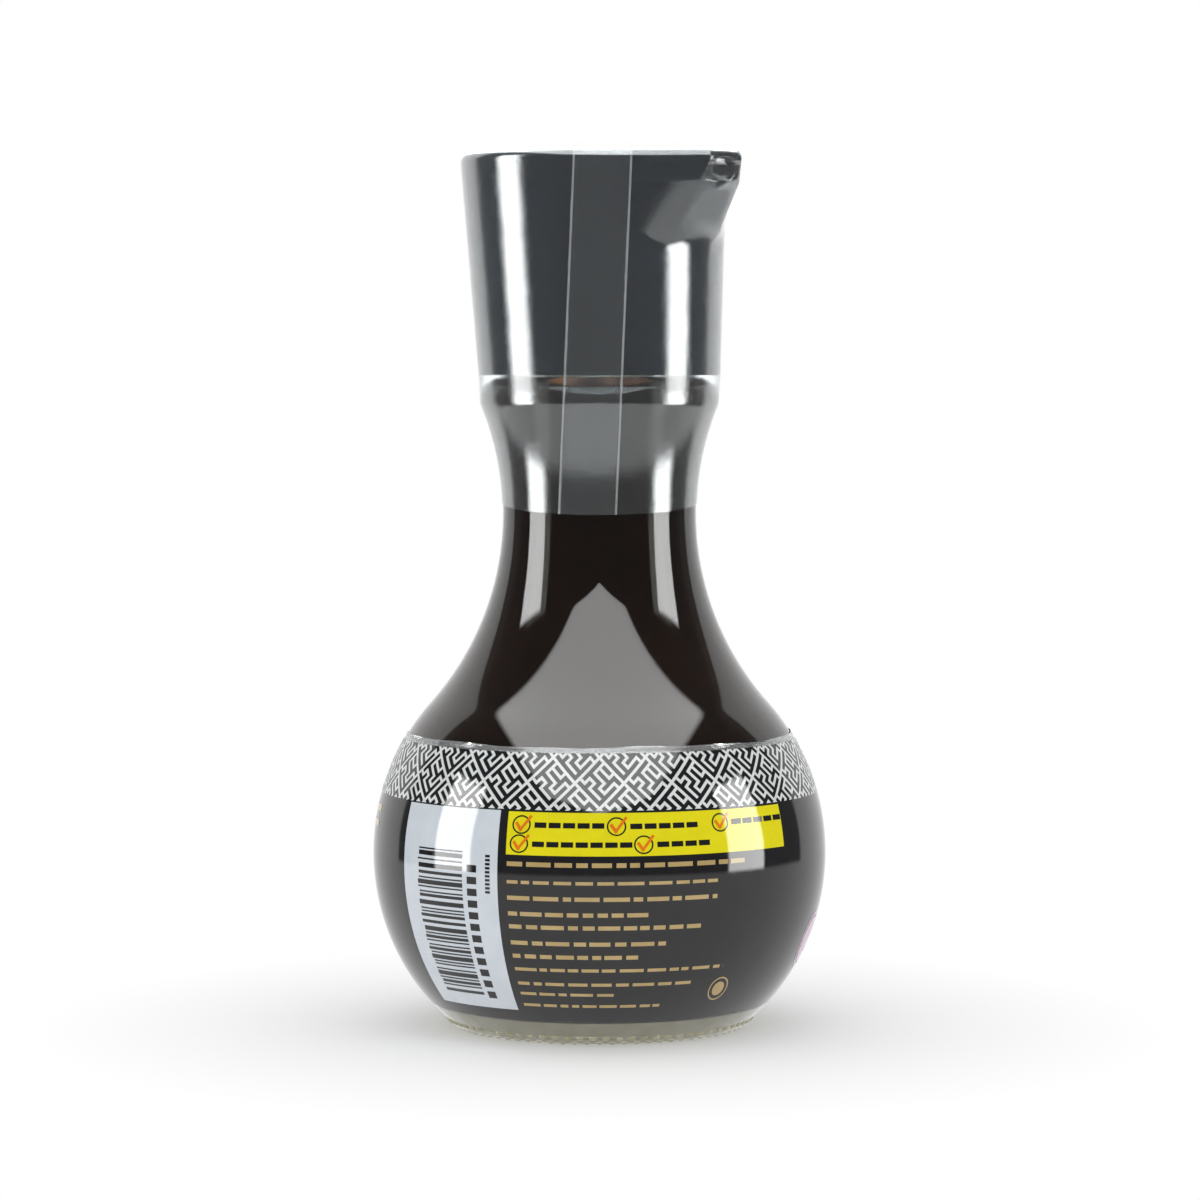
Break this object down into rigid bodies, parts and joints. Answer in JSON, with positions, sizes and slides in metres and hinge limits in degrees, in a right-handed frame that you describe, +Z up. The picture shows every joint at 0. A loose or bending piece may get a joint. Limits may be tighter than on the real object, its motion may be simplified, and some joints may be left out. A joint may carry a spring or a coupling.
{
  "type": "soy sauce bottle",
  "caption": "Filled glass table bottle with a ball-shaped belly, waisted neck, black pouring cap, printed sleeve and clear shrink band.",
  "frame": {"origin": "centre of the base, on the surface that the bottle stands on", "axes": "+Z up the bottle's axis; the printed back panel faces -Y; the beak of the cap points between +X and -Y"},
  "size_m": [0.068, 0.068, 0.1304],
  "materials": {
    "glass": "clear, faintly yellow-green flint glass",
    "sauce": "near-black brown liquid",
    "cap_plastic": "polished black moulded plastic",
    "sleeve_print": "glossy black printed shrink film",
    "band_film": "clear shrink film, slightly dusty"
  },
  "bodies": {
    "root": {"bottle": "glass", "sauce": "sauce", "cap": "cap_plastic", "sleeve": "sleeve_print", "shrink_band": "band_film"}
  },
  "joints": []
}
